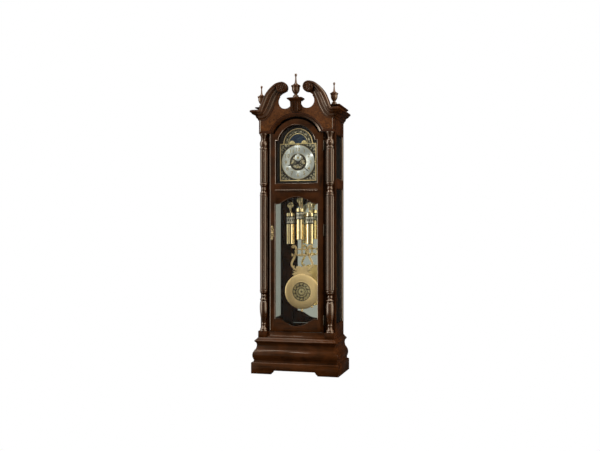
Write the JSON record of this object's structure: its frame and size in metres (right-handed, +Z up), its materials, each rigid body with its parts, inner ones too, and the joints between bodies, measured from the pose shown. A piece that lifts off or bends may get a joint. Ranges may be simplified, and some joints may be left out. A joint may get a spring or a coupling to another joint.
{
  "type": "longcase clock",
  "caption": "Free-standing longcase clock with a swan-neck pediment, turned corner columns, a glazed door, hanging weights and a lyre pendulum.",
  "frame": {"origin": "on the floor under the middle of the clock", "axes": "+Z up, +X to the right seen from the front, +Y from the front to the back"},
  "size_m": [0.685, 0.392, 2.222],
  "materials": {
    "cherry_wood": "satin lacquer, dark reddish brown",
    "burl_wood": "satin lacquer, mottled burl",
    "dark_wood": "plain stained wood, inside the case",
    "polished_brass": "polished and lacquered",
    "satin_brass": "brushed and lacquered",
    "silvered": "spun silver finish",
    "steel": "plain steel",
    "blackened": "black lacquer",
    "sky_blue": "painted sky",
    "clear_glass": "clear",
    "silvered_mirror": "silvered glass"
  },
  "bodies": {
    "case": {"base_plinth": "cherry_wood", "base_moulding": "cherry_wood", "apron_rail": "cherry_wood", "column_block_right": "cherry_wood", "column_block_left": "cherry_wood", "column_right": "cherry_wood", "column_left": "cherry_wood", "front_post_right": "cherry_wood", "front_post_left": "cherry_wood", "side_frame_right": "cherry_wood", "side_frame_left": "cherry_wood", "side_glass_upper_right": "clear_glass", "side_glass_upper_left": "clear_glass", "side_glass_lower_right": "clear_glass", "side_glass_lower_left": "clear_glass", "back_panel": "dark_wood", "back_mirror": "silvered_mirror", "roof_board": "dark_wood", "pediment_board": "burl_wood", "swan_neck_right": "cherry_wood", "swan_neck_left": "cherry_wood", "cornice_right": "cherry_wood", "cornice_left": "cherry_wood", "finial_pedestal": "cherry_wood", "finial_centre": "cherry_wood", "finial_right": "cherry_wood", "finial_left": "cherry_wood", "dial_mask": "dark_wood", "dial_plate": "satin_brass", "chapter_ring": "silvered", "movement_frame": "polished_brass", "seat_board": "dark_wood", "chime_rods": "steel", "hinge_lower": "steel", "hinge_middle": "steel", "hinge_upper": "steel", "cable_left": "steel", "cable_centre": "steel", "cable_right": "steel"},
    "door": {"door_frame": "cherry_wood", "door_glass_upper": "clear_glass", "door_glass_lower": "clear_glass", "rope_moulding": "cherry_wood", "pull_plate": "polished_brass"},
    "minute_hand": {"minute_hand": "blackened"},
    "hour_hand": {"hour_hand": "blackened"},
    "second_hand": {"second_hand": "blackened"},
    "moon_disc": {"moon_disc": "sky_blue"},
    "selector_lever": {"selector_lever": "polished_brass"},
    "pendulum": {"pendulum_frame": "satin_brass", "pendulum_bob": "satin_brass"},
    "weight_left": {"weight_left": "polished_brass"},
    "pulley_left": {"pulley_left": "polished_brass"},
    "drum_left": {"drum_left": "polished_brass"},
    "weight_centre": {"weight_centre": "polished_brass"},
    "pulley_centre": {"pulley_centre": "polished_brass"},
    "drum_centre": {"drum_centre": "polished_brass"},
    "weight_right": {"weight_right": "polished_brass"},
    "pulley_right": {"pulley_right": "polished_brass"},
    "drum_right": {"drum_right": "polished_brass"}
  },
  "joints": [
    {"name": "door_hinge", "type": "hinge", "parent": "case", "child": "door", "pos_m": [0.2089, -0.1345, 1], "axis": [0, 0, 1], "range_deg": [0, 110]},
    {"name": "minute_arbor", "type": "hinge", "parent": "case", "child": "minute_hand", "pos_m": [0, -0.088, 1.573], "axis": [0, 1, 0], "continuous": true},
    {"name": "hour_pipe", "type": "hinge", "parent": "case", "child": "hour_hand", "pos_m": [0, -0.086, 1.573], "axis": [0, 1, 0], "continuous": true},
    {"name": "second_arbor", "type": "hinge", "parent": "case", "child": "second_hand", "pos_m": [0, -0.084, 1.606], "axis": [0, 1, 0], "continuous": true},
    {"name": "moon_arbor", "type": "hinge", "parent": "case", "child": "moon_disc", "pos_m": [0, -0.078, 1.713], "axis": [0, 1, 0], "continuous": true},
    {"name": "selector_slide", "type": "slide", "parent": "case", "child": "selector_lever", "axis": [0, 0, 1], "range_m": [-0.009, 0.009]},
    {"name": "pendulum_suspension", "type": "hinge", "parent": "case", "child": "pendulum", "pos_m": [0, 0.032, 1.595], "axis": [0, 1, 0], "range_deg": [-3, 3]},
    {"name": "weight_left_fall", "type": "slide", "parent": "case", "child": "weight_left", "axis": [0, 0, 1], "range_m": [-0.64, 0.06], "deforming": ["cable_left"]},
    {"name": "pulley_left_spin", "type": "hinge", "parent": "weight_left", "child": "pulley_left", "pos_m": [-0.074, -0.026, 1.253], "axis": [0, 1, 0], "range_deg": [-200, 1900]},
    {"name": "drum_left_spin", "type": "hinge", "parent": "case", "child": "drum_left", "pos_m": [-0.046, -0.026, 1.565], "axis": [0, 1, 0], "range_deg": [-3800, 380]},
    {"name": "weight_centre_fall", "type": "slide", "parent": "case", "child": "weight_centre", "axis": [0, 0, 1], "range_m": [-0.64, 0.06], "deforming": ["cable_centre"]},
    {"name": "pulley_centre_spin", "type": "hinge", "parent": "weight_centre", "child": "pulley_centre", "pos_m": [0, -0.026, 1.287], "axis": [0, 1, 0], "range_deg": [-1900, 200]},
    {"name": "drum_centre_spin", "type": "hinge", "parent": "case", "child": "drum_centre", "pos_m": [0, -0.026, 1.535], "axis": [0, 1, 0], "range_deg": [-3800, 380]},
    {"name": "weight_right_fall", "type": "slide", "parent": "case", "child": "weight_right", "axis": [0, 0, 1], "range_m": [-0.64, 0.06], "deforming": ["cable_right"]},
    {"name": "pulley_right_spin", "type": "hinge", "parent": "weight_right", "child": "pulley_right", "pos_m": [0.074, -0.026, 1.253], "axis": [0, 1, 0], "range_deg": [-1900, 200]},
    {"name": "drum_right_spin", "type": "hinge", "parent": "case", "child": "drum_right", "pos_m": [0.046, -0.026, 1.565], "axis": [0, 1, 0], "range_deg": [-380, 3800]}
  ],
  "couplings": [
    {"joint": "hour_pipe", "follows": "minute_arbor", "ratio": 0.083333},
    {"joint": "second_arbor", "follows": "minute_arbor", "ratio": 60},
    {"joint": "pulley_left_spin", "follows": "weight_left_fall", "rad_per_m": -50.505},
    {"joint": "drum_left_spin", "follows": "weight_left_fall", "rad_per_m": 101.01},
    {"joint": "pulley_centre_spin", "follows": "weight_centre_fall", "rad_per_m": 50.505},
    {"joint": "drum_centre_spin", "follows": "weight_centre_fall", "rad_per_m": 101.01},
    {"joint": "pulley_right_spin", "follows": "weight_right_fall", "rad_per_m": 50.505},
    {"joint": "drum_right_spin", "follows": "weight_right_fall", "rad_per_m": -101.01}
  ]
}
